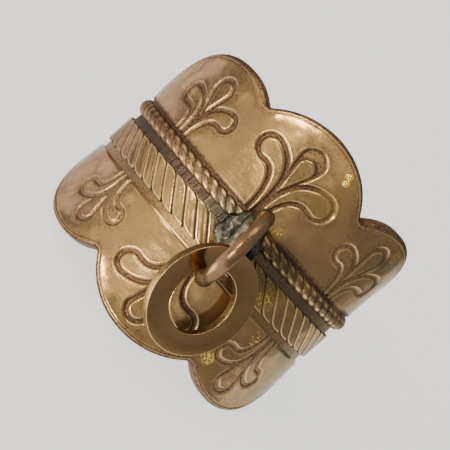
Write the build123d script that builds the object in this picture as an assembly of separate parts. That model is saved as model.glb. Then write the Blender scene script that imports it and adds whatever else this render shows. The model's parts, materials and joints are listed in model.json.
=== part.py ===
from build123d import *
from math import cos, degrees, radians, sin, sqrt, tan
import os

os.makedirs("parts", exist_ok=True)

# A bronze finger ring. Its wide front ends in three rounded lobes at each edge,
# a relief strip and a twisted rope run round its middle, and a flat drop ring
# hangs in a wire loop that is soldered to the front. Lengths in millimetres,
# angles in degrees.

# Finger hole and wall
finger_bore_d = 20.0
plate_wall = 1.14
plate_flare = 0.26

# Edges of the band, measured along the finger from the middle of the strip
top_centre_lobe_h = 11.3
top_side_lobe_h = 9.8
top_left_notch_h = 8.75
top_right_notch_h = 8.35
low_centre_lobe_h = 10.72
low_side_lobe_h = 9.25
low_left_notch_h = 7.9
low_right_notch_h = 8.25
shank_top_h = 2.95
shank_low_h = 2.98
notch_angle = 30.0
side_lobe_angle = 49.0
shank_angle = 99.0
shank_blend = 0.7
top_pattern_turn = 4.3
low_pattern_turn = 0.8

# Strip round the middle, from its lower edge to its upper edge
strip_seat_depth = 0.24
fillet_w = 0.66
leaf_strip_w = 2.48
recess_w = 0.66
rope_d = 1.38
rope_stand_off = 0.36
strip_low_h = 2.62
leaf_relief = 0.3
leaf_groove_w = 0.34
leaf_groove_depth = 0.26
leaf_lean = 42.0
leaf_count = 52
leaf_start = 2.7
leaf_end_round = 0.22
strand_count = 70
strand_start = 3.1
strand_lean = 47.0
strand_groove_w = 0.16
strand_groove_depth = 0.2

# Sprigs that are cut into the lobes
sprig_angle = 50.0
top_centre_sprig_angle = -2.0
low_left_sprig_angle = -48.0
centre_sprig_h = 6.95
centre_sprig_half_w = 4.35
top_side_sprig_h = 5.7
top_side_sprig_half_w = 3.45
low_side_sprig_h = 5.2
low_side_sprig_half_w = 3.05
groove_w = 0.42
groove_depth = 0.26

# Wire loop on the front, with its solder
loop_outer_d = 7.7
loop_wire_d = 1.26
loop_sink = 0.26
loop_turn = 5.6
loop_roll = 3.4
solder_w = 3.4
solder_h = 4.4
solder_rise = 1.15
solder_h_offset = 1.3

# Drop ring that hangs in the loop
drop_outer_d = 9.45
drop_hole_d = 5.7
drop_thick = 0.7
drop_edge_round = 0.08
drop_yaw = 35.0
drop_swing = 42.0
drop_clearance = 0.15

# Worked out from the sizes above
bore_r = finger_bore_d / 2
plate_r = bore_r + plate_wall
rim_r = plate_r + plate_flare
seat_r = plate_r - strip_seat_depth
leaf_low_z = -strip_low_h + fillet_w
leaf_top_z = leaf_low_z + leaf_strip_w
rope_low_z = leaf_top_z + recess_w
rope_z = rope_low_z + rope_d / 2
strip_top_z = rope_low_z + rope_d
leaf_r = seat_r + leaf_relief
rope_r = rope_d / 2
rope_ring_r = plate_r + rope_stand_off - rope_r
cut_reach = 3.0
top_heights = (top_centre_lobe_h, top_side_lobe_h, top_left_notch_h, top_right_notch_h, shank_top_h)
low_heights = (low_centre_lobe_h, low_side_lobe_h, low_left_notch_h, low_right_notch_h, shank_low_h)


def polar(radius, angle, height):
    # Angle 0 is the middle of the front, and angles grow to the right.
    return (radius * sin(radians(angle)), -radius * cos(radians(angle)), height)


def arc_drop(across, reach, depth):
    # How far an arc has dropped from its crest, if it drops by depth at reach.
    radius = (reach * reach + depth * depth) / (2 * depth)
    inside = min(abs(across), radius)
    return radius - sqrt(radius * radius - inside * inside)


def edge_height(angle, centre_h, side_h, left_notch_h, right_notch_h, shank_h):
    turn = abs(angle)
    notch_h = right_notch_h if angle > 0 else left_notch_h
    if turn <= notch_angle:
        across = rim_r * radians(turn)
        reach = rim_r * radians(notch_angle)
        return centre_h - arc_drop(across, reach, centre_h - notch_h)
    across = rim_r * radians(turn - side_lobe_angle)
    if turn <= side_lobe_angle:
        reach = rim_r * radians(side_lobe_angle - notch_angle)
        return side_h - arc_drop(across, reach, side_h - notch_h)
    reach = rim_r * radians(shank_angle - side_lobe_angle)
    flank = side_h - arc_drop(across, reach, side_h - shank_h)
    gap = flank - shank_h
    return shank_h + (gap + sqrt(gap * gap + shank_blend * shank_blend)) / 2


def edge_cutter(side, start, stop, steps, turn, heights):
    # Everything beyond one stretch of an edge, cut square to the finger hole.
    inner_points = []
    outer_points = []
    for step in range(steps + 1):
        angle = start + (stop - start) * step / steps
        height = side * edge_height(angle, *heights)
        inner_points.append(polar(bore_r - cut_reach, angle + turn, height))
        outer_points.append(polar(rim_r + cut_reach, angle + turn, height))
    inner_edge = Edge.make_spline([Vector(p) for p in inner_points])
    outer_edge = Edge.make_spline([Vector(p) for p in outer_points])
    sheet = Face.make_surface_from_curves(inner_edge, outer_edge)
    tallest = max(heights) + cut_reach
    return extrude(sheet, amount=tallest, dir=(0, 0, side))


def plate_profile(inner_radius, inset, low_z, high_z, rim_at_high):
    # Section of one side plate: its outer face flares towards its rim.
    low_out = plate_r - inset
    high_out = plate_r - inset
    if rim_at_high:
        high_out += plate_flare
    else:
        low_out += plate_flare
    middle = (low_out + high_out) / 2 - plate_flare * 0.12
    with BuildSketch(Plane.XZ) as section:
        with BuildLine():
            Line((inner_radius, low_z), (low_out, low_z))
            ThreePointArc((low_out, low_z), (middle, (low_z + high_z) / 2), (high_out, high_z))
            Line((high_out, high_z), (inner_radius, high_z))
            Line((inner_radius, high_z), (inner_radius, low_z))
        make_face()
    return section.sketch


def turned(section):
    return revolve(section, axis=Axis.Z)


def box_profile(inner_radius, outer_radius, low_z, high_z):
    with BuildSketch(Plane.XZ) as section:
        with BuildLine():
            Polyline(
                (inner_radius, low_z),
                (outer_radius, low_z),
                (outer_radius, high_z),
                (inner_radius, high_z),
                close=True,
            )
        make_face()
    return section.sketch


# Outline rows of the sprig's petals: across and along are shares of the sprig's
# half width and height; flat and cut are the half widths of the standing middle
# and of the groove round it, as shares of the sprig's half width and groove_w.
SIDE_PETAL = [
    # across, along, flat, cut
    (0.085, -0.16, 0.000, 0.0),
    (0.088, -0.08, 0.024, 1.0),
    (0.088, 0.16, 0.026, 1.0),
    (0.100, 0.27, 0.040, 1.0),
    (0.145, 0.40, 0.058, 1.0),
    (0.255, 0.50, 0.100, 1.0),
    (0.415, 0.56, 0.148, 1.0),
    (0.590, 0.595, 0.170, 1.0),
    (0.735, 0.605, 0.140, 1.0),
    (0.825, 0.605, 0.000, 0.0),
]
CENTRE_PETAL = [
    (0.00, 0.30, 0.000, 0.0),
    (0.00, 0.44, 0.050, 1.0),
    (0.01, 0.57, 0.105, 1.0),
    (0.02, 0.68, 0.150, 1.0),
    (0.025, 0.77, 0.172, 1.0),
    (0.025, 0.83, 0.130, 1.0),
    (0.025, 0.865, 0.000, 0.0),
]
centre_petal_cap = 0.135


def petal_outline(rows, half_w, height, mirror, widen, stretch):
    # A closed curve round the rows; widen grows it by the groove, and stretch
    # moves its far end on by that share of the height.
    centres = []
    for across, along, flat, cut in rows:
        lift = stretch * max(0.0, (along - rows[0][1]) / (rows[-1][1] - rows[0][1])) ** 2
        centres.append((mirror * across * half_w, (along + lift) * height))
    left_side = []
    right_side = []
    last = len(rows) - 1
    for index, (across, along, flat, cut) in enumerate(rows):
        before = centres[max(index - 1, 0)]
        after = centres[min(index + 1, last)]
        run = (after[0] - before[0], after[1] - before[1])
        size = sqrt(run[0] ** 2 + run[1] ** 2)
        ahead = (run[0] / size, run[1] / size)
        here = centres[index]
        half = flat * half_w + widen * cut
        if index == 0 or index == last:
            sign = -1 if index == 0 else 1
            tip = (here[0] + sign * ahead[0] * widen, here[1] + sign * ahead[1] * widen)
            left_side.append(tip)
        else:
            left_side.append((here[0] - ahead[1] * half, here[1] + ahead[0] * half))
            right_side.append((here[0] + ahead[1] * half, here[1] - ahead[0] * half))
    points = left_side + right_side[::-1]
    return make_face(Edge.make_spline([Vector(x, y, 0) for x, y in points], periodic=True))


def sprig(side, angle, half_w, height):
    # Grooves of one sprig, cut straight in towards the finger hole.
    grooves = None
    for rows, mirror, cap in [
        (SIDE_PETAL, 1, 0.0),
        (SIDE_PETAL, -1, 0.0),
        (CENTRE_PETAL, 1, centre_petal_cap / 2),
    ]:
        outer = petal_outline(rows, half_w, height, mirror, groove_w, cap)
        grooves = outer if grooves is None else grooves + outer
    for rows, mirror in [(SIDE_PETAL, 1), (SIDE_PETAL, -1), (CENTRE_PETAL, 1)]:
        grooves = grooves - petal_outline(rows, half_w, height, mirror, 0.0, 0.0)
    foot = strip_top_z if side > 0 else -strip_low_h
    facing = polar(1.0, angle, 0)
    across = polar(1.0, angle + 90, 0)
    ahead = Plane(origin=polar(bore_r, angle, foot), x_dir=across, z_dir=facing)
    if side < 0:
        ahead = Plane(origin=polar(bore_r, angle, foot), x_dir=[-c for c in across], z_dir=facing)
    placed = ahead * grooves
    return extrude(placed, amount=cut_reach, dir=facing)


def main_band():
    top_end = top_centre_lobe_h + 1
    low_end = -low_centre_lobe_h - 1
    band = turned(plate_profile(bore_r, 0.0, strip_top_z, top_end, True))
    band += turned(plate_profile(bore_r, 0.0, low_end, -strip_low_h, False))
    band += turned(box_profile(bore_r, seat_r, -strip_low_h, strip_top_z))

    # Grooves of the sprigs end at a floor that follows the outer face.
    top_skin = turned(box_profile(bore_r, rim_r + cut_reach, strip_top_z, top_end))
    top_skin -= turned(plate_profile(bore_r - 1, groove_depth, strip_top_z, top_end, True))
    low_skin = turned(box_profile(bore_r, rim_r + cut_reach, low_end, -strip_low_h))
    low_skin -= turned(plate_profile(bore_r - 1, groove_depth, low_end, -strip_low_h, False))
    for angle in [-sprig_angle, top_centre_sprig_angle, sprig_angle]:
        wide = abs(angle) < notch_angle
        half_w = centre_sprig_half_w if wide else top_side_sprig_half_w
        height = centre_sprig_h if wide else top_side_sprig_h
        band -= sprig(1, angle + top_pattern_turn, half_w, height) & top_skin
    for angle in [low_left_sprig_angle, 0.0, sprig_angle]:
        wide = abs(angle) < notch_angle
        half_w = centre_sprig_half_w if wide else low_side_sprig_half_w
        height = centre_sprig_h if wide else low_side_sprig_h
        band -= sprig(-1, angle + low_pattern_turn, half_w, height) & low_skin

    for side, turn, heights in [(1, top_pattern_turn, top_heights), (-1, low_pattern_turn, low_heights)]:
        band -= edge_cutter(side, -notch_angle, notch_angle, 12, turn, heights)
        band -= edge_cutter(side, notch_angle, 180.0, 40, turn, heights)
        band -= edge_cutter(side, -180.0, -notch_angle, 40, turn, heights)
    return band


def leaf_strip():
    with BuildSketch(Plane.XZ) as section:
        with BuildLine():
            Polyline(
                (seat_r - 0.3, leaf_low_z),
                (leaf_r, leaf_low_z),
                (leaf_r, leaf_top_z),
                (seat_r - 0.3, leaf_top_z),
                close=True,
            )
        make_face()
        outer_corners = section.vertices().sort_by(Axis.X)[-2:]
        fillet(outer_corners, leaf_end_round)
    strip = turned(section.sketch)
    grooves = []
    length = 1.3 * leaf_strip_w / cos(radians(leaf_lean))
    middle_z = (leaf_low_z + leaf_top_z) / 2
    with BuildSketch() as vee:
        with BuildLine():
            Polyline(
                (-leaf_groove_w, leaf_groove_depth),
                (0, -leaf_groove_depth),
                (leaf_groove_w, leaf_groove_depth),
                close=True,
            )
        make_face()
    for number in range(leaf_count):
        angle = leaf_start + 360.0 * number / leaf_count
        facing = Vector(polar(1.0, angle, 0))
        level = Vector(polar(1.0, angle + 90, 0))
        lean = radians(leaf_lean)
        along = level * sin(lean) - Vector(0, 0, 1) * cos(lean)
        start = facing * leaf_r + Vector(0, 0, middle_z) - along * (length / 2)
        seat = Plane(origin=start, x_dir=along.cross(facing), z_dir=along)
        lifted = seat * vee.sketch
        if seat.y_dir.dot(facing) < 0:
            seat = Plane(origin=start, x_dir=facing.cross(along), z_dir=along)
            lifted = seat * vee.sketch
        grooves.append(extrude(lifted, amount=length, dir=along))
    return strip - grooves


def rope():
    core_r = rope_r - strand_groove_depth
    whole = Pos(0, 0, rope_z) * Torus(rope_ring_r, rope_r)
    core = Pos(0, 0, rope_z) * Torus(rope_ring_r, core_r)
    slabs = []
    for number in range(strand_count):
        angle = strand_start + 360.0 * number / strand_count
        facing = Vector(polar(1.0, angle, 0))
        level = Vector(polar(1.0, angle + 90, 0))
        lean = radians(strand_lean)
        across = level * cos(lean) + Vector(0, 0, 1) * sin(lean)
        seat = Plane(origin=facing * rope_ring_r + Vector(0, 0, rope_z), x_dir=facing, z_dir=across)
        slabs.append(seat * Box(rope_d * 2.2, rope_d * 2.2, strand_groove_w))
    return (whole - slabs) + core


def loop_frame():
    # Origin at the loop's centre, x straight out from the finger, y along it.
    centre_r = leaf_r - loop_sink + loop_outer_d / 2
    facing = Vector(polar(1.0, loop_turn, 0))
    level = Vector(polar(1.0, loop_turn + 90, 0))
    roll = radians(loop_roll)
    along = Vector(0, 0, 1) * cos(roll) - level * sin(roll)
    return Plane(origin=facing * centre_r, x_dir=facing, z_dir=facing.cross(along))


def wire_loop():
    frame = loop_frame()
    ring_r = (loop_outer_d - loop_wire_d) / 2
    loop = frame * Torus(ring_r, loop_wire_d / 2)
    foot = frame.origin - frame.x_dir * (loop_outer_d / 2 - loop_sink)
    seat = Plane(origin=foot + Vector(0, 0, solder_h_offset), x_dir=frame.z_dir, z_dir=frame.x_dir)
    ball = scale(Sphere(1.0), by=(solder_w / 2, solder_h / 2, solder_rise))
    return loop, seat * ball


def drop_placing():
    # The drop's hole clears the wire that passes through it at a slant.
    frame = loop_frame()
    ring_r = (loop_outer_d - loop_wire_d) / 2
    down = -frame.y_dir
    wire_point = frame.origin + down * ring_r
    yaw = radians(drop_yaw)
    swing = radians(drop_swing)
    wire_r = loop_wire_d / 2
    slant = sqrt((wire_r / cos(yaw) * sin(swing)) ** 2 + (wire_r * cos(swing)) ** 2)
    reach = slant + drop_thick / 2 * tan(yaw) * sin(swing)
    offset = drop_hole_d / 2 - reach - drop_clearance
    facing = frame.x_dir
    level = facing.cross(down)
    normal = facing * cos(yaw) + level * sin(yaw)
    sideways = level * cos(yaw) - facing * sin(yaw)
    hang = down * cos(swing) + sideways * sin(swing)
    return Plane(origin=wire_point + hang * offset, x_dir=hang, z_dir=normal)


def drop_washer():
    with BuildPart() as washer:
        Cylinder(drop_outer_d / 2, drop_thick)
        Cylinder(drop_hole_d / 2, drop_thick * 2, mode=Mode.SUBTRACT)
        fillet(washer.edges().filter_by(GeomType.CIRCLE), drop_edge_round)
    return drop_placing() * washer.part


def edge_points(angles):
    # Lowest points of the lower edge, at the finger hole and at the outer face.
    points = []
    for angle in angles:
        height = -edge_height(angle, *low_heights)
        for radius in (bore_r, plate_r):
            points.append(polar(radius, angle + low_pattern_turn, height))
    return points


def lowest(points, lean):
    # Height of the lowest point once the finger hole leans back by lean.
    return min(z * cos(lean) - y * sin(lean) for x, y, z in points)


def resting_lean():
    # The ring lies on its lower edge: lobes in front, shank at the back.
    front = edge_points(range(-90, 91, 2))
    back = edge_points([angle - 360 if angle > 180 else angle for angle in range(92, 269, 2)])
    low = 0.0
    high = radians(45.0)
    for _ in range(60):
        middle = (low + high) / 2
        if lowest(front, middle) < lowest(back, middle):
            low = middle
        else:
            high = middle
    return low, lowest(front, low)


ring_band = main_band() + leaf_strip() + rope()
for piece in wire_loop():
    ring_band += piece
drop_ring = drop_washer()

lean, floor_height = resting_lean()
laid_down = Rot(X=-degrees(lean))
ring_band = laid_down * ring_band
drop_ring = laid_down * drop_ring
box = (ring_band.bounding_box()).add(drop_ring.bounding_box())
to_floor = Pos(-box.center().X, -box.center().Y, -floor_height)
ring_band = to_floor * ring_band
drop_ring = to_floor * drop_ring

export_step(ring_band, "parts/ring_band.step")
export_step(drop_ring, "parts/drop_ring.step")
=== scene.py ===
import json
from math import atan2, cos, degrees, hypot, pi, radians, sin, sqrt, tan

import bpy
import numpy as np
from mathutils import Matrix, Vector


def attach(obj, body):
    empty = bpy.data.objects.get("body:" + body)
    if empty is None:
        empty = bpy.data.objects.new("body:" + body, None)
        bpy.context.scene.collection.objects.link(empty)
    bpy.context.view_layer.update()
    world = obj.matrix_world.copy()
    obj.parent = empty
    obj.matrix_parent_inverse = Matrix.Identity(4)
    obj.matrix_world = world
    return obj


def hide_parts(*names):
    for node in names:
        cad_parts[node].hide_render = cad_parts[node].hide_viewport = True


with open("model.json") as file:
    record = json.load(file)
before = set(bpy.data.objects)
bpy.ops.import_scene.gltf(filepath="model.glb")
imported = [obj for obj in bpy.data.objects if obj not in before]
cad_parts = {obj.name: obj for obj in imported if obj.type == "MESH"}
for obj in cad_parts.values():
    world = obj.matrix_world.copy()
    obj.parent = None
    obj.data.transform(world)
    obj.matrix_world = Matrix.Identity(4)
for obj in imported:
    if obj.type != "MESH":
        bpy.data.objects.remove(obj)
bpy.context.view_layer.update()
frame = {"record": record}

# Upper plate of the band.
# It is cast bronze, bent round the finger, with three rounded lobes whose rim is
# turned out a little; a three-petalled sprig is cut into the face of each lobe.

# Lengths are in millimetres, and MM turns them to metres. Angles round the finger
# are in degrees: 0 is the middle of the front, and they grow to the right.
MM = 0.001
bore_r = 10.0
plate_r = 11.14
seat_r = 10.9
under_strip_r = 10.4
strip_top_z = 2.56

# The ring leans back as it lies. Its own axes are read from the finger hole's mount.
finger_hole = frame["record"]["mounts"][0]
hole_axis = Vector(finger_hole["axis"]).normalized()
hole_middle_offset = -0.0118
ring_lean = atan2(hole_axis.y, hole_axis.z)
ring_origin = Vector(finger_hole["pos_m"]) / MM - hole_axis * hole_middle_offset


def laid_down(x, y, z):
    # From the ring's own axes, in millimetres, to the place where it lies, in metres.
    y_laid = y * cos(ring_lean) + z * sin(ring_lean)
    z_laid = z * cos(ring_lean) - y * sin(ring_lean)
    axes = ((x, ring_origin.x), (y_laid, ring_origin.y), (z_laid, ring_origin.z))
    return np.stack([(value + start) * MM for value, start in axes], axis=-1)


def round_finger(radius, angle, height):
    turn = np.radians(angle)
    return laid_down(radius * np.sin(turn), -radius * np.cos(turn), height + 0 * turn)


def wrapped_angle(angle):
    return (angle + 180.0) % 360.0 - 180.0


def smooth_step(value, low, high):
    share = np.clip((value - low) / (high - low), 0.0, 1.0)
    return share * share * (3.0 - 2.0 * share)


def bell(value, middle, width):
    return np.exp(-((value - middle) / width) ** 2)


def arc_drop(across, reach, depth):
    # How far an arc has dropped from its crest, if it drops by depth at reach.
    radius = (reach * reach + depth * depth) / (2 * depth)
    inside = np.minimum(np.abs(across), radius)
    return radius - np.sqrt(radius * radius - inside * inside)


rim_r = 11.4
notch_angle = 30.0
shank_angle = 99.0
shank_blend = 0.7


def edge_height(angle, lobes):
    # Height of a plate's edge over the ring's middle: three arcs and the shank.
    centre_h, left_h, right_h, left_notch_h, right_notch_h, shank_h, left_angle, right_angle = lobes
    turn = np.abs(angle)
    notch_h = np.where(angle > 0, right_notch_h, left_notch_h)
    side_h = np.where(angle > 0, right_h, left_h)
    side_lobe_angle = np.where(angle > 0, right_angle, left_angle)
    notch_reach = rim_r * radians(notch_angle)
    centre = centre_h - arc_drop(rim_r * np.radians(turn), notch_reach, centre_h - notch_h)
    across = rim_r * np.radians(turn - side_lobe_angle)
    inner_reach = rim_r * np.radians(side_lobe_angle - notch_angle)
    near_flank = side_h - arc_drop(across, inner_reach, side_h - notch_h)
    far_reach = rim_r * np.radians(shank_angle - side_lobe_angle)
    gap = side_h - arc_drop(across, far_reach, side_h - shank_h) - shank_h
    far_flank = shank_h + (gap + np.sqrt(gap * gap + shank_blend * shank_blend)) / 2
    height = np.where(turn <= side_lobe_angle, near_flank, far_flank)
    return np.where(turn <= notch_angle, centre, height)


# How an edge is worn round: the steps that the average takes to each side, and the
# width of its bell, in steps. The flare follows the softer of the two lines.
edge_step = 0.5
rim_wear = (12, 4.2)
flare_wear = (24, 9.0)
steepest_slope = 3.0


def worn_edge(lobes, turn, angles, reach, spread):
    # The edge with its notches and peaks worn round, and how steeply it runs there,
    # as length over width.
    even = np.arange(-180.0, 180.0, edge_step)
    sharp = edge_height(wrapped_angle(even - turn), lobes)
    weights = bell(np.arange(-reach, reach + 1), 0, spread)
    worn = np.convolve(np.tile(sharp, 3), weights / weights.sum(), mode="same")
    height = np.interp(wrapped_angle(angles), even, worn[len(even):2 * len(even)], period=360)
    slope = np.gradient(height, np.radians(angles) * plate_r)
    return height, np.sqrt(1.0 + np.minimum(slope ** 2, steepest_slope ** 2))


groove_w = 0.42
groove_depth = 0.2
stem_half_w = 0.09
stem_groove_r = 0.24
sprig_start = -0.4
petal_steps = 48
middle_steps = 40
stem_steps = 12


def petal_line(foot_x, end_x, end_y, end_r, grow):
    # A side petal as overlapping discs along a line that rises from the foot and
    # then leans out: how far across and along each lies, and its radius.
    steps = np.linspace(0.0, 1.0, petal_steps)
    rest = 1 - steps
    weights = np.stack([rest ** 3, 3 * rest ** 2 * steps, 3 * rest * steps ** 2, steps ** 3])
    across = np.array([foot_x, foot_x, foot_x + 0.33 * (end_x - foot_x), end_x]) @ weights
    along = np.array([sprig_start, 0.72 * end_y, end_y, end_y]) @ weights
    widen = grow * (0.7 + 0.3 * smooth_step(steps, 0.2, 0.7))
    return across, along, stem_half_w + (end_r - stem_half_w) * steps ** 1.3 + widen


def middle_line(tip_x, tip_y, end_x, end_y, end_r, grow, cap):
    # The middle petal: a drop that grows from a point, with a groove that stands
    # further off by cap at its round end.
    steps = np.linspace(0.0, 1.0, middle_steps)
    across = tip_x + (end_x - tip_x) * steps
    along = tip_y + (end_y + cap - tip_y) * steps
    return across, along, 0.02 + (end_r - 0.02) * steps + grow * (0.75 + 0.25 * steps)


far_off = 9.0


def disc_distance(across, along, discs):
    # Distance outside a petal, negative inside it.
    nearest = np.full(across.shape, far_off)
    for disc_x, disc_y, radius in zip(*discs):
        nearest = np.minimum(nearest, np.hypot(across - disc_x, along - disc_y) - radius)
    return nearest


sprig_half_turn = 27.0
sprig_tall = 8.2
foot_gap = 0.036
fade_start = 1.2
fade_end = 3.0


def sprig_cut(angle, along, sprigs):
    # How far inside a groove the point lies, in mm, less than 0 outside it, and how
    # crisp the cut still is there.
    inside = np.full(angle.shape, -far_off)
    crispness = np.ones(angle.shape)
    for centre, base, left, middle, right, tip, cap, crisp_left, crisp_right in sprigs:
        around = wrapped_angle(angle - centre)
        near = (np.abs(around) < sprig_half_turn) & (along < sprig_tall)
        spot = (plate_r * np.radians(around[near]), along[near])
        groove = np.full(spot[0].shape, far_off)
        pad = np.full(spot[0].shape, far_off)
        for petal, side in ((left, -1), (right, 1)):
            foot = (base + side * foot_gap) * bore_r
            end = [share * bore_r for share in petal]
            groove = np.minimum(groove, disc_distance(*spot, petal_line(foot, *end, groove_w)))
            pad = np.minimum(pad, disc_distance(*spot, petal_line(foot, *end, 0.0)))
        point = [base * bore_r, tip * bore_r]
        end = [share * bore_r for share in middle]
        stem_rise = np.linspace(sprig_start, point[1], stem_steps)
        stem = (np.full(stem_steps, point[0]), stem_rise, np.full(stem_steps, stem_groove_r))
        groove = np.minimum(groove, disc_distance(*spot, stem))
        around_middle = middle_line(*point, *end, groove_w, cap * bore_r)
        groove = np.minimum(groove, disc_distance(*spot, around_middle))
        pad = np.minimum(pad, disc_distance(*spot, middle_line(*point, *end, 0.0, 0.0)))
        inside[near] = np.maximum(inside[near], np.minimum(-groove, pad))
        fade = smooth_step(spot[0], fade_start, fade_end)
        crispness[near] = crisp_left + (crisp_right - crisp_left) * fade
    return inside, crispness


merge_distance = 0.001


def closed_skin(name, points, dirt_and_shade, wear_and_highlight):
    # A grid whose vertices are moved into place, with its seams merged and its faces
    # turned outwards. The two values say where dirt and painted shade are, and where
    # wear and painted highlights are, from 0 to 1.
    rows, columns = points.shape[:2]
    bpy.ops.object.select_all(action="DESELECT")
    bpy.ops.mesh.primitive_grid_add(x_subdivisions=columns - 1, y_subdivisions=rows - 1, size=1.0)
    piece = bpy.context.object
    piece.name = name
    piece.data.name = name
    mesh = piece.data
    mesh.vertices.foreach_set("co", points.reshape(-1, 3).astype(np.float32).ravel())
    for layer_name, values in (("dirt_and_shade", dirt_and_shade), ("wear_and_highlight", wear_and_highlight)):
        layer = mesh.attributes.new(layer_name, "FLOAT", "POINT")
        layer.data.foreach_set("value", np.clip(values, 0, 1).astype(np.float32).ravel())
    bpy.ops.object.mode_set(mode="EDIT")
    bpy.ops.mesh.select_all(action="SELECT")
    bpy.ops.mesh.remove_doubles(threshold=merge_distance * MM)
    bpy.ops.mesh.normals_make_consistent(inside=False)
    bpy.ops.object.mode_set(mode="OBJECT")
    bpy.ops.object.shade_smooth()
    return piece


def join_ring(piece, material):
    # The piece is part of the ring's one solid: it moves with the ring and stands
    # for its node.
    piece.data.materials.append(material)
    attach(piece, "ring")
    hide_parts("ring_band")


def linear(hex_colour):
    # An sRGB hex colour as the linear values that a shader takes.
    channels = []
    for place in (1, 3, 5):
        value = int(hex_colour[place:place + 2], 16) / 255
        channels.append(value / 12.92 if value <= 0.04045 else ((value + 0.055) / 1.055) ** 2.4)
    return (*channels, 1.0)


def add_node(tree, kind, settings=None, inputs=None, links=None):
    # One node with its settings, its input values and what is linked to it.
    node = tree.nodes.new(kind)
    for key, value in (settings or {}).items():
        setattr(node, key, value)
    for key, value in (inputs or {}).items():
        node.inputs[key].default_value = value
    for key, source in (links or {}).items():
        tree.links.new(source, node.inputs[key])
    return node


# Places of the Mix node's sockets, for two colours and for two values.
mix_share, colour_a, colour_b, mixed_colour = 0, 6, 7, 2
value_a, value_b, mixed_value = 2, 3, 0

film_patch = 1.7
grey_film_and_sheen = "#8d806a"


def clouded_metal(tree, where, tone, worn_tone, cloud_size, left_tarnish_and_shade):
    # Two browns that drift into each other in clouds, under films of tarnish that
    # thicken in patches on the flanks: reddish on the left, where the film also darkens
    # the flank as painted shade, and greyish on the right, where it also lightens the
    # flank as a painted reflection.
    cloud = add_node(
        tree, "ShaderNodeTexNoise", {},
        {"Scale": 1 / (cloud_size * MM), "Detail": 4.0, "Roughness": 0.55}, {"Vector": where},
    ).outputs["Fac"]
    cloud_share = add_node(
        tree, "ShaderNodeMapRange", {}, {"From Min": 0.38, "From Max": 0.64}, {"Value": cloud},
    ).outputs["Result"]
    colour = add_node(
        tree, "ShaderNodeMix", {"data_type": "RGBA"},
        {colour_a: linear(tone), colour_b: linear(worn_tone)}, {mix_share: cloud_share},
    ).outputs[mixed_colour]
    across = add_node(tree, "ShaderNodeSeparateXYZ", {}, {}, {0: where}).outputs["X"]
    film = add_node(
        tree, "ShaderNodeTexNoise", {},
        {"Scale": 1 / (film_patch * MM), "Detail": 3.0, "Roughness": 0.6, "Distortion": 0.6},
        {"Vector": where},
    ).outputs["Fac"]
    film_share = add_node(
        tree, "ShaderNodeMapRange", {},
        {"From Min": 0.38, "From Max": 0.62, "To Min": 0.15}, {"Value": film},
    ).outputs["Result"]
    flank_films_and_light = (
        # tone, where across it starts and where it is thickest, in mm, and how thick
        (left_tarnish_and_shade, -4.5, -10.7, 1.0),
        (grey_film_and_sheen, 7.0, 10.2, 0.9),
    )
    for film_tone, start_x, thick_x, thickest in flank_films_and_light:
        flank = add_node(
            tree, "ShaderNodeMapRange", {},
            {"From Min": start_x * MM, "From Max": thick_x * MM, "To Max": thickest}, {"Value": across},
        ).outputs["Result"]
        thickness = add_node(
            tree, "ShaderNodeMath", {"operation": "MULTIPLY"}, {}, {0: flank, 1: film_share},
        ).outputs[0]
        colour = add_node(
            tree, "ShaderNodeMix", {"data_type": "RGBA"},
            {colour_b: linear(film_tone)}, {mix_share: thickness, colour_a: colour},
        ).outputs[mixed_colour]
    return colour


def dirtied_and_shaded(tree, colour, patina_and_shade_tone, dirt_and_shade, pits, pit_mask):
    # Dark dirt fills the casting pits and the cuts, and is scattered round the cuts; the same dark tone
    # also lays painted shade wherever the dirt values carry it.
    mottle = add_node(
        tree, "ShaderNodeMapRange", {},
        {"From Min": 0.35, "From Max": 0.65, "To Min": 0.7, "To Max": 1.15}, {"Value": pits},
    ).outputs["Result"]
    mottled_dirt_and_shade = add_node(
        tree, "ShaderNodeMath", {"operation": "MULTIPLY", "use_clamp": True}, {}, {0: dirt_and_shade, 1: mottle},
    ).outputs[0]
    close_by = add_node(
        tree, "ShaderNodeMath", {"operation": "MULTIPLY", "use_clamp": True}, {1: 9.0}, {0: dirt_and_shade},
    ).outputs[0]
    scattered = add_node(
        tree, "ShaderNodeMapRange", {},
        {"From Min": 0.54, "From Max": 0.62, "To Max": 0.42}, {"Value": pits},
    ).outputs["Result"]
    dirt_and_shade_cover = add_node(
        tree, "ShaderNodeMath", {"operation": "MULTIPLY_ADD", "use_clamp": True}, {},
        {0: close_by, 1: scattered, 2: mottled_dirt_and_shade},
    ).outputs[0]
    for cover in (pit_mask, dirt_and_shade_cover):
        colour = add_node(
            tree, "ShaderNodeMix", {"data_type": "RGBA"},
            {colour_b: linear(patina_and_shade_tone)}, {mix_share: cover, colour_a: colour},
        ).outputs[mixed_colour]
    return colour


speck_size = 0.2


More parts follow.
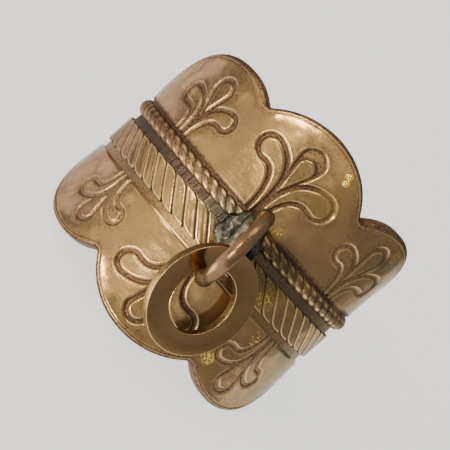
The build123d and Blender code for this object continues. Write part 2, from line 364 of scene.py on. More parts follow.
def marked(tree, where, colour, marks):
    # Local stains, which cover a round place as a film, and worn places, where bare
    # metal shows in specks. Some specks are painted bright as glints, one film is a
    # painted sheen and one a painted shade. Gives the colour and where the specks are, if any.
    worn_specks = None
    for mark_angle, mark_z, reach, mark_tone, bare_from, film in marks:
        turn = radians(mark_angle)
        middle = laid_down(plate_r * sin(turn), -plate_r * cos(turn), mark_z)
        distance = add_node(
            tree, "ShaderNodeVectorMath", {"operation": "DISTANCE"}, {1: tuple(middle)}, {0: where},
        ).outputs["Value"]
        near = add_node(
            tree, "ShaderNodeMapRange", {"interpolation_type": "SMOOTHSTEP"},
            {"From Min": 0.3 * reach * MM, "From Max": reach * MM, "To Min": 1.0, "To Max": 0.0},
            {"Value": distance},
        ).outputs["Result"]
        specks = add_node(
            tree, "ShaderNodeTexNoise", {},
            {"Scale": 1 / (speck_size * MM), "Detail": 2.0, "Roughness": 0.6}, {"Vector": where},
        ).outputs["Fac"]
        cover = {"From Min": bare_from, "From Max": bare_from + 0.03}
        if film > 0:
            cover = {"From Min": 0.3, "From Max": 0.7, "To Min": 0.6 * film, "To Max": film}
        patchy = add_node(tree, "ShaderNodeMapRange", {}, cover, {"Value": specks}).outputs["Result"]
        share = add_node(
            tree, "ShaderNodeMath", {"operation": "MULTIPLY"}, {}, {0: near, 1: patchy},
        ).outputs[0]
        colour = add_node(
            tree, "ShaderNodeMix", {"data_type": "RGBA"},
            {colour_b: linear(mark_tone)}, {mix_share: share, colour_a: colour},
        ).outputs[mixed_colour]
        if film == 0 and worn_specks is None:
            worn_specks = share
        elif film == 0:
            worn_specks = add_node(
                tree, "ShaderNodeMath", {"operation": "MAXIMUM"}, {}, {0: worn_specks, 1: share},
            ).outputs[0]
    return colour, worn_specks


pit_size = 0.17
scratch_size = 0.12
glint_size = 0.16
pit_depth = 0.04
scratch_depth = 0.03
glint_depth = 0.13
wear_and_highlight_tone = "#f0d29c"
edge_tint = "#cfc8bf"
dirt_roughness = 0.55
speck_roughness = 0.24


def bronze(
    name, tone, worn_tone, patina_and_shade_tone, shine, spots, dent=0.16, metal=1.0, left_tarnish_and_shade="#8a6656",
    dent_size=2.8, cloud_size=3.5, marks=(),
):
    # Old bronze: a brown metal, polished by wear, with painted highlights, on what stands
    # out, and left dark in the cuts with dirt and painted shade. The tones are the metal's
    # two browns and its dirt, which also serves as painted shade, and the tone for the left
    # flank is a film there, which also darkens the flank as painted shade. shine is the
    # roughness of the clean metal and spots how dark its pits are. dent and dent_size are
    # the depth and width of the unevenness and cloud_size the width of a cloud, in mm.
    # metal is under 1 where a film of oxide or dirt, which is no metal, shares the surface.
    material = bpy.data.materials.new(name)
    material.use_nodes = True
    tree = material.node_tree
    tree.nodes.clear()
    where = add_node(tree, "ShaderNodeTexCoord").outputs["Object"]
    dirt_and_shade = add_node(tree, "ShaderNodeAttribute", {"attribute_name": "dirt_and_shade"}).outputs["Fac"]
    wear_and_highlight = add_node(tree, "ShaderNodeAttribute", {"attribute_name": "wear_and_highlight"}).outputs["Fac"]
    # Casting pits, about a sixth of a millimetre across.
    pits = add_node(
        tree, "ShaderNodeTexNoise", {},
        {"Scale": 1 / (pit_size * MM), "Detail": 3.0, "Roughness": 0.6}, {"Vector": where},
    ).outputs["Fac"]
    pit_mask = add_node(
        tree, "ShaderNodeMapRange", {},
        {"From Min": 0.60, "From Max": 0.72, "To Max": spots}, {"Value": pits},
    ).outputs["Result"]
    colour = clouded_metal(tree, where, tone, worn_tone, cloud_size, left_tarnish_and_shade)
    colour = dirtied_and_shaded(tree, colour, patina_and_shade_tone, dirt_and_shade, pits, pit_mask)
    # Wear, and painted highlights, mixed in as a light tone.
    colour = add_node(
        tree, "ShaderNodeMix", {"data_type": "RGBA"},
        {colour_b: linear(wear_and_highlight_tone)}, {mix_share: wear_and_highlight, colour_a: colour},
    ).outputs[mixed_colour]
    colour, worn_specks = marked(tree, where, colour, marks)
    # Rubbing scratches, drawn out round the finger. Real ones are finer than the
    # picture can show, so these are drawn coarser.
    drawn_out = add_node(
        tree, "ShaderNodeMapping", {}, {"Scale": (0.25, 0.25, 1.0)}, {"Vector": where},
    ).outputs["Vector"]
    scratches = add_node(
        tree, "ShaderNodeTexNoise", {},
        {"Scale": 1 / (scratch_size * MM), "Detail": 5.0, "Roughness": 0.65}, {"Vector": drawn_out},
    ).outputs["Fac"]
    roughness = add_node(
        tree, "ShaderNodeMapRange", {},
        {"From Min": 0.3, "From Max": 0.7, "To Min": shine - 0.05, "To Max": shine + 0.08},
        {"Value": scratches},
    ).outputs["Result"]
    roughness = add_node(
        tree, "ShaderNodeMix", {"data_type": "FLOAT"},
        {value_b: dirt_roughness}, {mix_share: dirt_and_shade, value_a: roughness},
    ).outputs[mixed_value]
    normal = add_node(
        tree, "ShaderNodeBump", {}, {"Strength": 0.08, "Distance": scratch_depth * MM},
        {"Height": scratches},
    ).outputs["Normal"]
    normal = add_node(
        tree, "ShaderNodeBump", {"invert": True}, {"Strength": 0.15, "Distance": pit_depth * MM},
        {"Height": pit_mask, "Normal": normal},
    ).outputs["Normal"]
    # The surface is never quite even, so reflections waver.
    dents = add_node(
        tree, "ShaderNodeTexNoise", {},
        {"Scale": 1 / (dent_size * MM), "Detail": 2.0, "Roughness": 0.4}, {"Vector": where},
    ).outputs["Fac"]
    normal = add_node(
        tree, "ShaderNodeBump", {}, {"Strength": 1.0, "Distance": dent * MM},
        {"Height": dents, "Normal": normal},
    ).outputs["Normal"]
    if worn_specks is not None:
        # The worn specks are small facets that glint.
        roughness = add_node(
            tree, "ShaderNodeMix", {"data_type": "FLOAT"},
            {value_b: speck_roughness}, {mix_share: worn_specks, value_a: roughness},
        ).outputs[mixed_value]
        facets = add_node(
            tree, "ShaderNodeTexVoronoi", {}, {"Scale": 1 / (glint_size * MM)}, {"Vector": where},
        ).outputs["Distance"]
        glitter = add_node(
            tree, "ShaderNodeMath", {"operation": "MULTIPLY"}, {}, {0: worn_specks, 1: facets},
        ).outputs[0]
        normal = add_node(
            tree, "ShaderNodeBump", {}, {"Strength": 1.0, "Distance": glint_depth * MM},
            {"Height": glitter, "Normal": normal},
        ).outputs["Normal"]
    shader = add_node(
        tree, "ShaderNodeBsdfPrincipled", {}, {"Metallic": metal, "Specular Tint": linear(edge_tint)},
        {"Base Color": colour, "Roughness": roughness, "Normal": normal},
    ).outputs["BSDF"]
    add_node(tree, "ShaderNodeOutputMaterial", {}, {}, {"Surface": shader})
    return material


# Cast bronze worn by the hand: warm light brown, polished where it stands out and
# painted there with highlights, dark purple brown in the cuts, with painted shade on
# the rims, the flanks and round the grooves, brassy worn places painted bright as
# glints, grey dirt by the solder and green spots.
brass_and_glint_yellow = "#ffdf68"
painted_glint_brass = "#ffe874"
brass_dust = "#c7a048"
olive_film = "#8a754c"
film_and_shade_under_drop = "#85796a"
painted_sheen_patch = "#c9ab7c"
solder_film = "#67655c"
grime = "#463f30"
verdigris = "#4d6653"
worn_bronze = bronze(
    "worn_cast_bronze", "#a38661", "#bc9b6c", "#4f3b37", 0.13, 0.3, 0.16, 0.88,
    marks=(
        # place round the finger, height, reach in mm, tone, then either the noise level
        # above which bare specks show, or how much of a film covers the place
        (17.3, 9.75, 1.0, brass_dust, 0, 0.5),
        (19.0, 7.3, 2.0, brass_dust, 0, 0.3),
        (15.5, 2.95, 1.0, brass_dust, 0, 0.35),
        (30.0, -0.2, 2.2, brass_dust, 0, 0.3),
        (34.5, -7.1, 1.3, brass_dust, 0, 0.45),
        (64.6, 8.3, 0.9, brass_dust, 0, 0.4),
        # These specks are worn brass, painted bright yellow as glints.
        (15.5, 2.95, 0.8, brass_and_glint_yellow, 0.56, 0),
        (17.0, 9.95, 0.42, painted_glint_brass, 0.30, 0),
        (18.0, 9.45, 0.42, painted_glint_brass, 0.34, 0),
        (27.0, 0.2, 1.5, brass_and_glint_yellow, 0.57, 0),
        (31.5, -1.1, 1.4, brass_and_glint_yellow, 0.56, 0),
        (34.5, -7.1, 0.8, painted_glint_brass, 0.47, 0),
        (45.0, -3.4, 0.9, brass_and_glint_yellow, 0.60, 0),
        (64.6, 8.3, 0.7, brass_and_glint_yellow, 0.62, 0),
        (36.0, -0.9, 4.4, olive_film, 0, 0.6),
        (36.0, -6.2, 3.0, olive_film, 0, 0.4),
        (24.0, 0.9, 3.4, grime, 0, 0.9),
        (-5.0, 1.0, 2.2, solder_film, 0, 0.85),
        (62.4, 7.4, 0.7, verdigris, 0, 0.7),
        (66.0, -3.0, 1.2, verdigris, 0, 0.5),
        # A grey film painted over the plate under the drop, as shade there.
        (22.4, -5.35, 2.8, film_and_shade_under_drop, 0, 0.3),
        # A painted sheen on the right lobe, low down at its right.
        (65.6, 3.4, 1.7, painted_sheen_patch, 0, 0.6),
        (72.8, 5.8, 0.7, grime, 0, 0.7),
    ),
)

column_step = 0.07
shank_step = 1.6
front_half_turn = 112.0


def column_angles():
    # Fine steps in front, where the sprigs are, and coarse ones on the shank.
    shank_end = 360.0 - front_half_turn
    fine = np.arange(-front_half_turn, front_half_turn, degrees(column_step / plate_r))
    coarse = np.arange(front_half_turn, shank_end, shank_step)
    return np.concatenate([fine, coarse, [shank_end]])


# Rows of vertices by the strip, and under the rim, in mm from the edge they follow.
strip_corner_r = 0.22
strip_corner_rows = (0.0, 0.01, 0.03, 0.07, 0.12, 0.17)
rim_rows_at = (0.16, 0.125, 0.09, 0.06, 0.03)
rim_line_at = 0.10
rim_line_depth = 0.022
flare = 0.10
wide_flare_from = 3.6
near_flare_from = 1.2
flare_limit = 1.1
burr_at = -0.12
burr_height = 0.010
side_rim_extra = 0.14
inner_round = 0.25
lowest_z = 0.00001


def plate_dirt_and_shade(side, angles, along, from_rim, inside, crispness):
    # Dirt and painted shade: dirt along the strip, darkened further as painted shade
    # over the corner's reflection; dirt in the grooves, with painted shade over their
    # walls and skirts, deeper on the left; a painted shade line under the rim; and on
    # the top left lobe a dark band along the rim.
    at_left = 1 - smooth_step(angles, -40.0, -28.0)
    strip_dirt_and_shade = 0.9 * (1 - smooth_step(along, 0.08, 0.32)) * (side > 0)
    wide = smooth_step(inside, 0.20, 0.36)
    groove_dirt_and_shade = (0.85 - 0.42 * wide) * smooth_step(inside, -0.05, 0.06)
    groove_dirt_and_shade = (groove_dirt_and_shade + 0.38 * bell(inside, 0.10, 0.07)) * crispness ** 2
    rim_line_shade = 0.7 * bell(from_rim, rim_line_at, 0.04)
    on_left_lobe = smooth_step(angles, -76.0, -64.0) * (1 - smooth_step(angles, -44.0, -32.0))
    left_band = 0.6 * on_left_lobe * (side > 0) * bell(from_rim, 0.08, 0.28)
    skirt_dirt_and_shade = (0.12 + 0.22 * at_left) * bell(np.minimum(inside + 0.15, 0), 0, 0.35)
    skirt_dirt_and_shade = skirt_dirt_and_shade + 0.08 * bell(from_rim, 0, 0.9)
    return np.maximum.reduce([strip_dirt_and_shade, groove_dirt_and_shade, np.maximum(rim_line_shade, left_band), skirt_dirt_and_shade])


def plate_wear_and_highlights(side, angles, along, from_rim, inside, at_side):
    # The lips of the grooves and a line inside the rim carry painted highlights, as
    # rubbed wear, and the lower plate's edge along the strip in front carries a painted
    # highlight.
    at_left = 1 - smooth_step(angles, -40.0, -28.0)
    at_front = smooth_step(angles, -30.0, -10.0) * (1 - smooth_step(angles, 0.0, 20.0))
    worn = 0.4 * (1 - 0.5 * at_left) * bell(inside, -0.06, 0.05)
    worn = worn + 0.4 * (1 - 0.7 * at_side) * bell(from_rim, 0.01, 0.03)
    return worn + 0.8 * at_front * bell(along, 0.05, 0.06) * (side < 0)


def plate(name, side, turn, lobes, strip_z, sprigs, face_rows, rim_width, strip_edge_roll):
    # One plate with its lobed edge: from the strip out to the rim, over it, and
    # back along the finger hole, as one closed skin. side is 1 for the upper plate
    # and -1 for the lower one.
    angles = column_angles()
    edge, steep = worn_edge(lobes, turn, angles, *rim_wear)
    soft_edge, soft_steep = worn_edge(lobes, turn, angles, *flare_wear)
    foot = abs(strip_z)
    at_side = smooth_step(np.abs(wrapped_angle(angles - turn)), 28.0, 36.0)
    rim_round = rim_width + side_rim_extra * at_side * (side > 0)
    rim_tall = rim_round * np.minimum(steep, 1.8)
    face_top = edge - rim_tall

    # Heights of the face's rows, closer together at both edges.
    share = np.linspace(0.0, 1.0, face_rows)[:, None]
    middle_rows = foot + strip_corner_r + share * (face_top - foot - strip_corner_r)[None, :]
    corner_rows = foot + np.array(strip_corner_rows)[:, None] + 0 * angles
    last_rows = face_top[None, :] - np.array(rim_rows_at)[:, None] * steep[None, :]
    height = np.concatenate([corner_rows, middle_rows[:-3], last_rows, middle_rows[-1:]])
    along = height - foot
    from_rim = (face_top - height) / steep
    from_soft_edge = (soft_edge - height) / soft_steep
    angle_grid = np.broadcast_to(angles, height.shape)

    # Radius of the face: turned out towards the rim, cut by the sprigs' grooves, with
    # a faint burr beside them, and rolled down at the strip.
    wide_flare = flare * np.clip(1 - from_soft_edge / wide_flare_from, 0, flare_limit) ** 1.6
    near_flare = flare * np.clip(1 - from_soft_edge / near_flare_from, 0, flare_limit) ** 2
    radius = plate_r + wide_flare + near_flare - rim_line_depth * bell(from_rim, rim_line_at, 0.05)
    inside, crispness = sprig_cut(angle_grid, along, sprigs)
    radius = radius - groove_depth * crispness * smooth_step(inside, -0.11, 0.13)
    radius = radius + burr_height * bell(inside, burr_at, 0.07)
    to_corner = 1 - np.minimum(along / strip_corner_r, 1)
    radius = radius - strip_edge_roll * (np.sqrt(to_corner ** 2 + 0.03) - sqrt(0.03))
    face = round_finger(radius, angle_grid, side * height)

    # Over the rim, down the inside and back under the strip.
    back_rows = []
    for turned in np.radians([15, 30, 45, 60, 75, 90]):
        out = radius[-1] - rim_round * (1 - cos(turned))
        back_rows.append(round_finger(out, angles, side * (edge - rim_tall * (1 - sin(turned)))))
    rim_row_count = len(back_rows)
    for turned in np.radians([90, 67, 45, 22, 0]):
        out = bore_r + inner_round * (1 - cos(turned)) + 0 * angles
        back_rows.append(round_finger(out, angles, side * (edge - inner_round * (1 - sin(turned)))))
    for down in (0.66, 0.33, 0.0):
        back_rows.append(round_finger(bore_r + 0 * angles, angles, side * (edge - inner_round) * down))
    for down in (0.0, side * foot):
        back_rows.append(round_finger(under_strip_r + 0 * angles, angles, down + 0 * angles))
    back_rows.append(face[0])
    points = np.concatenate([face, np.stack(back_rows)])
    points[..., 2] = np.maximum(points[..., 2], lowest_z)

    # The rounding over the rim is darkened in bands, as dirt and painted shade.
    rim_dirt_and_shade = [0.7, 0.95, 1.0, 1.0, 0.95, 0.8] + [0.6] * (len(back_rows) - rim_row_count)
    back_dirt_and_shade = np.array(rim_dirt_and_shade)[:, None] * (1 - 0.3 * at_side)[None, :]
    face_dirt_and_shade = plate_dirt_and_shade(side, angles, along, from_rim, inside, crispness)
    face_wear_and_highlight = plate_wear_and_highlights(side, angles, along, from_rim, inside, at_side)
    dirt_and_shade = np.concatenate([face_dirt_and_shade, back_dirt_and_shade])
    wear_and_highlight = np.concatenate([face_wear_and_highlight, 0 * back_dirt_and_shade])
    piece = closed_skin(name, points, dirt_and_shade, wear_and_highlight)
    join_ring(piece, worn_bronze)


top_lobes = (
    # heights of the centre, left and right lobes, of the left and right notches and
    # of the shank, then where the left and right lobes peak
    11.3, 9.85, 9.75, 8.75, 8.15, 2.95, 48.0, 52.0,
)
top_turn = 4.3
top_sprigs = [
    # place round the finger; the rest are shares of the hole's radius: foot,
    # left, middle and right petal (across, along, half width), its point, its cap,
    # and how crisp the cut still is, at the left and at the right
    (
        -45.7, 0.015, (-0.245, 0.272, 0.058), (-0.010, 0.460, 0.068), (0.243, 0.313, 0.056),
        0.25, 0.0, 0.8, 0.95,
    ),
    (
        2.3, -0.008, (-0.290, 0.443, 0.077), (0.015, 0.530, 0.072), (0.318, 0.418, 0.083),
        0.26, 0.070, 1.0, 0.7,
    ),
    (
        54.3, -0.030, (-0.243, 0.308, 0.062), (0.035, 0.455, 0.075), (0.284, 0.275, 0.068),
        0.20, 0.01, 0.55, 0.55,
    ),
]
plate("top_plate", 1, top_turn, top_lobes, strip_top_z, top_sprigs, 110, 0.28, 0.05)

# Lower plate of the band.
# It is the same cast plate the other way up, a little narrower. The ring lies on
# its lower edge: on a side lobe in front, and on the shank at the back.
strip_low_z = -2.65
low_lobes = (10.72, 8.98, 9.5, 7.78, 8.25, 2.98, 48.0, 49.0)
low_turn = 0.8
low_sprigs = [
    # the same columns as for the upper plate
    (
        -47.2, 0.020, (-0.203, 0.272, 0.052), (0.010, 0.403, 0.054), (0.226, 0.268, 0.048),
        0.22, 0.0, 0.65, 0.75,
    ),
    (
        0.8, -0.005, (-0.325, 0.415, 0.070), (-0.005, 0.603, 0.070), (0.300, 0.410, 0.070),
        0.30, 0.0, 1.0, 1.0,
    ),
    (
        50.8, 0.000, (-0.225, 0.325, 0.054), (0.000, 0.472, 0.068), (0.198, 0.322, 0.054),
        0.19, 0.01, 0.7, 0.7,
    ),
]
plate("low_plate", -1, low_turn, low_lobes, strip_low_z, low_sprigs, 102, 0.25, 0.13)

# Seat of the strip round the middle.
# It is a shallow channel turned in the band: a plain fillet below the leaves and
# a finely milled recess between the leaves and the rope, dark with old dirt.
leaf_low_z = -2.04
leaf_top_z = 0.42
recess_top_z = 1.1
seat_overlap = 0.2
seat_back_r = seat_r - 0.6
mill_pitch = 0.24
mill_depth = 0.045
seat_corners = (
    # height and radius of the channel's section, once round from its lower edge
    (strip_low_z - seat_overlap, seat_r),
    (strip_low_z, seat_r),
    (leaf_low_z, seat_r),
    (0.0, seat_r),
    (leaf_top_z, seat_r),
    (recess_top_z, seat_r - 0.04),
    (strip_top_z + 0.1, seat_r + 0.16),
    (strip_top_z + 0.1, seat_back_r),
    (strip_low_z - seat_overlap, seat_back_r),
    (strip_low_z - seat_overlap, seat_r),
)
rows_each = 5
seat_rows = rows_each * (len(seat_corners) - 1) + 1
seat_columns = 1601
leaf_top_row = 4 * rows_each
recess_top_row = 5 * rows_each


def ring_section(name, rows, columns, shape):
    # A closed ring; shape gives radius, height, dirt with painted shade, and wear with painted
    # highlights for the rows.
    angles = np.linspace(0.0, 360.0, columns)
    radius, height, dirt_and_shade, wear_and_highlight = shape(np.linspace(0.0, 1.0, rows)[:, None], angles[None, :])
    points = round_finger(radius, np.broadcast_to(angles, radius.shape), height)
    piece = closed_skin(name, points, dirt_and_shade, wear_and_highlight)
    join_ring(piece, worn_bronze)
    return piece


def seat_shape(share, angles):
    corner_heights, corner_radii = zip(*seat_corners)
    place = share * (len(seat_corners) - 1)
    height = np.interp(place, range(len(seat_corners)), corner_heights) + 0 * angles
    radius = np.interp(place, range(len(seat_corners)), corner_radii) + 0 * angles
    over_leaves = smooth_step(height, leaf_top_z, leaf_top_z + 0.08)
    in_recess = over_leaves * smooth_step(-height, -recess_top_z - 0.1, -recess_top_z)
    # The milled teeth come and go, because the tool was set again and again by hand.
    turn = np.radians(angles)
    mills = round(2 * pi * seat_r / mill_pitch)
    uneven = 0.5 + 0.5 * np.sin(turn * 61 + 3.0 * np.sin(turn * 23)) * np.sin(turn * 37 + 1.0)
    teeth = 0.5 + 0.5 * np.cos(turn * mills + 4.0 * uneven + 1.5 * np.sin(turn * 91))
    teeth = teeth * (0.35 + 0.65 * uneven)
    radius = radius - mill_depth * in_recess * teeth * (radius > seat_r - 0.3)
    # The recess is cleaner at the right, and its teeth's painted highlights are fainter at the far left.
    at_right = smooth_step(angles, 4.0, 20.0) * (1 - smooth_step(angles, 80.0, 110.0))
    far_left = (1 - smooth_step(angles, 300.0, 325.0)) * (angles > 180)
    dirt_and_shade = 0.42 * (1 - 0.9 * in_recess * at_right)
    dirt_and_shade = dirt_and_shade + in_recess * (0.16 + 0.3 * teeth) * (1 - at_right)
    dirt_and_shade = dirt_and_shade + in_recess * 0.4 * teeth * at_right
    # Dirt and painted shade fill the gap between the rope and the upper plate.
    dirt_and_shade = np.maximum(dirt_and_shade, 0.95 * smooth_step(height, 1.9, 2.2))
    broken = 0.55 + 0.45 * np.sin(height * 13.0 + turn * 173.0)
    # The teeth's crests are painted light, as rubbed wear and painted highlight.
    crest_wear_and_highlight = 0.6 * in_recess * smooth_step(-teeth, -0.07, 0.0) * uneven * broken
    return radius, height, dirt_and_shade, crest_wear_and_highlight * (1 - 0.4 * at_right) * (1 - 0.8 * far_left)


# Bronze in the milled recess, where fingers don't reach: dull grey brown, rough and
# filmed with dirt, darkest by the solder.
tarred_solder = "#4a4b4a"
recess_bronze = bronze(
    "dirty_milled_recess", "#6b5d50", "#7a6a58", "#43373a", 0.3, 0.5, 0.05, 0.9, "#646160",
    marks=((24.0, 0.9, 3.4, grime, 0, 0.4), (-5.0, 1.0, 2.2, tarred_solder, 0, 0.85)),
)
seat_ring = ring_section("strip_seat", seat_rows, seat_columns, seat_shape)
seat_ring.data.materials.append(recess_bronze)
for face in seat_ring.data.polygons:
    face_row = face.index // (seat_columns - 1)
    face.material_index = int(leaf_top_row <= face_row <= recess_top_row)

# Strip of slanted leaves.
# Each leaf is a long raised pad with round ends, with painted highlights, as wear,
# along its upper side, and dirt has stayed in the cuts between the leaves.
leaf_count = 52
leaf_relief = 0.3
leaf_lean = radians(43.5)
leaf_start = 2.7
leaf_corner = 0.42
leaf_edge_round = 0.10
leaf_cut_r = seat_r - 0.03
leaf_back_r = seat_r - 0.3
leaf_face_share = 0.86
leaf_rise_steps = 24


def left_flank_share(angles):
    # 1 on the left flank, where painted shade evens out and painted highlights are faint, and 0 in
    # front.
    return (1 - smooth_step(angles, 285.0, 325.0)) * (angles > 180)


def leaf_shape(share, angles):
    # The first part of the rows makes the face, and the rest closes it at the back.
    front = share <= leaf_face_share
    back_share = (share - leaf_face_share) / (1 - leaf_face_share)
    rise = np.where(front, np.clip(share / leaf_face_share, 0, 1), 1 - back_share)
    height = leaf_low_z + (leaf_top_z - leaf_low_z) * rise
    lean_angle = degrees(tan(leaf_lean) / seat_r)
    middle = (leaf_low_z + leaf_top_z) / 2
    place = (angles - leaf_start + (height - middle) * lean_angle) / (360.0 / leaf_count) + 0 * share
    across = place - np.floor(place)
    pitch = 2 * pi * seat_r / leaf_count * cos(leaf_lean)
    left = across * pitch
    right = (1 - across) * pitch
    low = height - leaf_low_z + 0 * angles
    top = leaf_top_z - height + 0 * angles
    inside = np.minimum(np.minimum(left, right), np.minimum(low, top) * 1.3)
    # The upper right and lower left corners of each leaf are rounded.
    for side_gap, end_gap in ((right, top), (left, low)):
        corner = leaf_corner - np.hypot(leaf_corner - side_gap, leaf_corner - end_gap)
        at_corner = (side_gap < leaf_corner) & (end_gap < leaf_corner)
        inside = np.where(at_corner, np.minimum(inside, corner), inside)
    crown = np.sqrt(1 - (1 - np.clip(inside / leaf_edge_round, 0, 1)) ** 2)
    # Faint ribs run along each leaf, and its face is tilted a little.
    ribs = 0.004 * np.sin(across * 2 * pi * 2.5 + 0.7) + 0.002 * np.sin(across * 2 * pi * 7.0)
    tilt = 0.05 * (across - 0.5)
    face_r = leaf_cut_r + (leaf_relief + ribs - tilt) * crown
    radius = np.where(front, face_r, leaf_back_r)
    left_flank = left_flank_share(angles)
    # Dirt stays in the cuts, and the left flank is darkened all over as painted shade.
    dirt_and_shade = np.where(front, 1 - smooth_step(inside, 0.04, 0.11), 0)
    dirt_and_shade = np.maximum(dirt_and_shade, 0.3 * left_flank)
    # Painted highlights, as wear, on each leaf's upper side, faint on its other sides.
    upper_side = (left < right) | (low < 0.3) | (top < 0.3)
    rub_and_highlight = bell(inside, 0.13, 0.045) * np.where(upper_side, 0.95, 0.25)
    wear_and_highlight = np.where(front, rub_and_highlight, 0) * (1 - 0.75 * left_flank)
    return radius, height + 0 * angles, dirt_and_shade, wear_and_highlight


ring_section("leaf_strip", 64, leaf_count * leaf_rise_steps + 1, leaf_shape)

# Twisted rope beside the strip.
# It is drawn wire twisted and soldered into the channel, so each strand crosses
# the front at a slant. Its two shoulders carry painted highlights, as rubbed wear,
# and the strand bodies are darkened as painted shade.
strand_count = 70
strand_start = 3.1
strand_turns = 3
strand_steps = 16
rope_core_r = 0.51
rope_bulge = 0.17
rope_ring_r = 10.81
rope_z = 1.73
upper_shoulder = 0.58
lower_shoulder = -0.60


def rope_shape(share, angles):
    # Each strand also winds round the rope, strand_turns strands to one turn.
    around = (share - 0.5) * 2 * pi
    phase = np.radians(angles - strand_start) * strand_count + around * strand_turns
    crown = np.abs(np.sin(phase / 2))
    tube = rope_core_r + rope_bulge * crown ** 0.55
    radius = rope_ring_r + tube * np.cos(around)
    height = rope_z + tube * np.sin(around)
    left_flank = left_flank_share(angles)
    # Dirt lies between the strands; the strand bodies are darkened as painted shade, less on the left
    # flank.
    dirt_and_shade = np.maximum(1 - smooth_step(crown, 0.06, 0.36), 0.62 - 0.15 * left_flank)
    # Painted highlights, as rubbed wear, along both shoulders, fainter on the left flank.
    shoulder = bell(around, upper_shoulder, 0.15) + 1.15 * bell(around, lower_shoulder, 0.13)
    wear_and_highlight = 0.85 * shoulder * smooth_step(crown, 0.6, 0.95) * (1 - 0.7 * left_flank)
    # Where highlights are painted, the painted shade is lifted.
    dirt_and_shade = dirt_and_shade * (1 - 0.9 * np.clip(wear_and_highlight, 0, 1))
    return radius, height, dirt_and_shade, wear_and_highlight


ring_section("rope", 41, strand_count * strand_steps + 1, rope_shape)

# Wire loop on the front.
# It is a ring of round drawn bronze wire, soldered on the middle of the front, in
# line with the finger, and it holds the drop.
loop_outer_d = 7.7
loop_wire_d = 1.26
loop_sink = 0.26
loop_turn = radians(5.6)
wire_roll = radians(2.2)
leaf_r = 11.2
loop_ring_r = (loop_outer_d - loop_wire_d) / 2
loop_centre_r = leaf_r - loop_sink + loop_outer_d / 2
loop_out = Vector((sin(loop_turn), -cos(loop_turn), 0))
loop_level = Vector((cos(loop_turn), sin(loop_turn), 0))
finger_way = Vector((0, 0, 1))
wire_along = finger_way * cos(wire_roll) - loop_level * sin(wire_roll)
lay_matrix = Matrix.Translation(ring_origin * MM) @ Matrix.Rotation(-ring_lean, 4, "X")


def axes_matrix(x_axis, y_axis, z_axis, origin):
    facing = Matrix((x_axis, y_axis, z_axis)).transposed().to_4x4()
    return lay_matrix @ Matrix.Translation(origin * MM) @ facing


def set_in_place(piece, name, matrix):
    # Names the shape and moves its own mesh, so the object stays at the origin.
    piece.name = name
    piece.data.name = name
    piece.data.transform(matrix)
    piece.data.materials.clear()
    bpy.ops.object.shade_smooth()


# Drawn wire, smoother than the casting: light pinkish brown above, redder and darker
# towards its lower end, where a film is painted on as shade, with long sharp
# highlights under a thin brown film.
upper_film = "#b8a482"
lower_film_and_shade = "#604b33"
wire_bronze = bronze(
    "drawn_bronze_wire", "#78604b", "#876c54", "#4a3b30", 0.22, 0.4, 0.06, 0.75, "#78604b", 0.9, 1.0,
    marks=((5.6, 5.6, 5.6, upper_film, 0, 0.85), (5.6, -4.4, 8.6, lower_film_and_shade, 0, 0.85)),
)
bpy.ops.object.select_all(action="DESELECT")
bpy.ops.mesh.primitive_torus_add(
    major_radius=loop_ring_r * MM, minor_radius=loop_wire_d / 2 * MM,
    major_segments=144, minor_segments=40,
)
wire_loop = bpy.context.object
loop_place = axes_matrix(loop_out, wire_along, loop_out.cross(wire_along), loop_out * loop_centre_r)
set_in_place(wire_loop, "wire_loop", loop_place)
join_ring(wire_loop, wire_bronze)

# Solder at the foot of the loop.
# Hard solder was flooded round the foot of the wire and left as it ran: a dark grey
# lump, pitted and dirty, with a few white specks painted on as glints.
solder_w = 3.7
solder_h = 4.4
solder_rise = 1.0
solder_z = 0.95


def read_points(mesh):
    points = np.zeros(len(mesh.vertices) * 3, np.float32)
    mesh.vertices.foreach_get("co", points)
    return points.reshape(-1, 3).astype(float)


def write_points(mesh, points):
    mesh.vertices.foreach_set("co", points.astype(np.float32).ravel())


# Solder left as it cooled: dull dark grey in clouds, nearly black in its pits, with
# white specks that are painted highlights.
bead_glint_white = "#eef0ee"
solder_metal = bronze(
    "flooded_hard_solder", "#2e2e2b", "#605f5a", "#1b1d19", 0.32, 0.8, 0.18, 1.0, "#2e2e2b", 0.9, 0.9,
    marks=((-1.5, 1.1, 2.4, bead_glint_white, 0.63, 0),),
)
bpy.ops.object.select_all(action="DESELECT")
bpy.ops.mesh.primitive_uv_sphere_add(segments=96, ring_count=64, radius=1.0)
solder = bpy.context.object
ball = read_points(solder.data)
lumps = 1 + 0.06 * np.sin(5.1 * ball[:, 0] + 1.0) * np.sin(6.3 * ball[:, 1])
lumps = lumps + 0.04 * np.sin(11.0 * ball[:, 1] + 7.0 * ball[:, 0])
ball[:, 0] *= 1 - 0.28 * ball[:, 1]
half_sizes = np.array([solder_w / 2, solder_h / 2, solder_rise])
write_points(solder.data, ball * lumps[:, None] * half_sizes * MM)
solder_place = loop_out * (loop_centre_r - loop_outer_d / 2 + loop_sink) + finger_way * solder_z
set_in_place(solder, "loop_solder", axes_matrix(loop_level, finger_way, loop_out, solder_place))
join_ring(solder, solder_metal)

# Solder that has climbed the back of the wire.
# The back half of the loop is thickly tinned with the same solder, in lumps, so
# no daylight is left between the wire and the band.
sleeve_r = 0.78
hidden_r = 0.5
sleeve_lump = 0.07
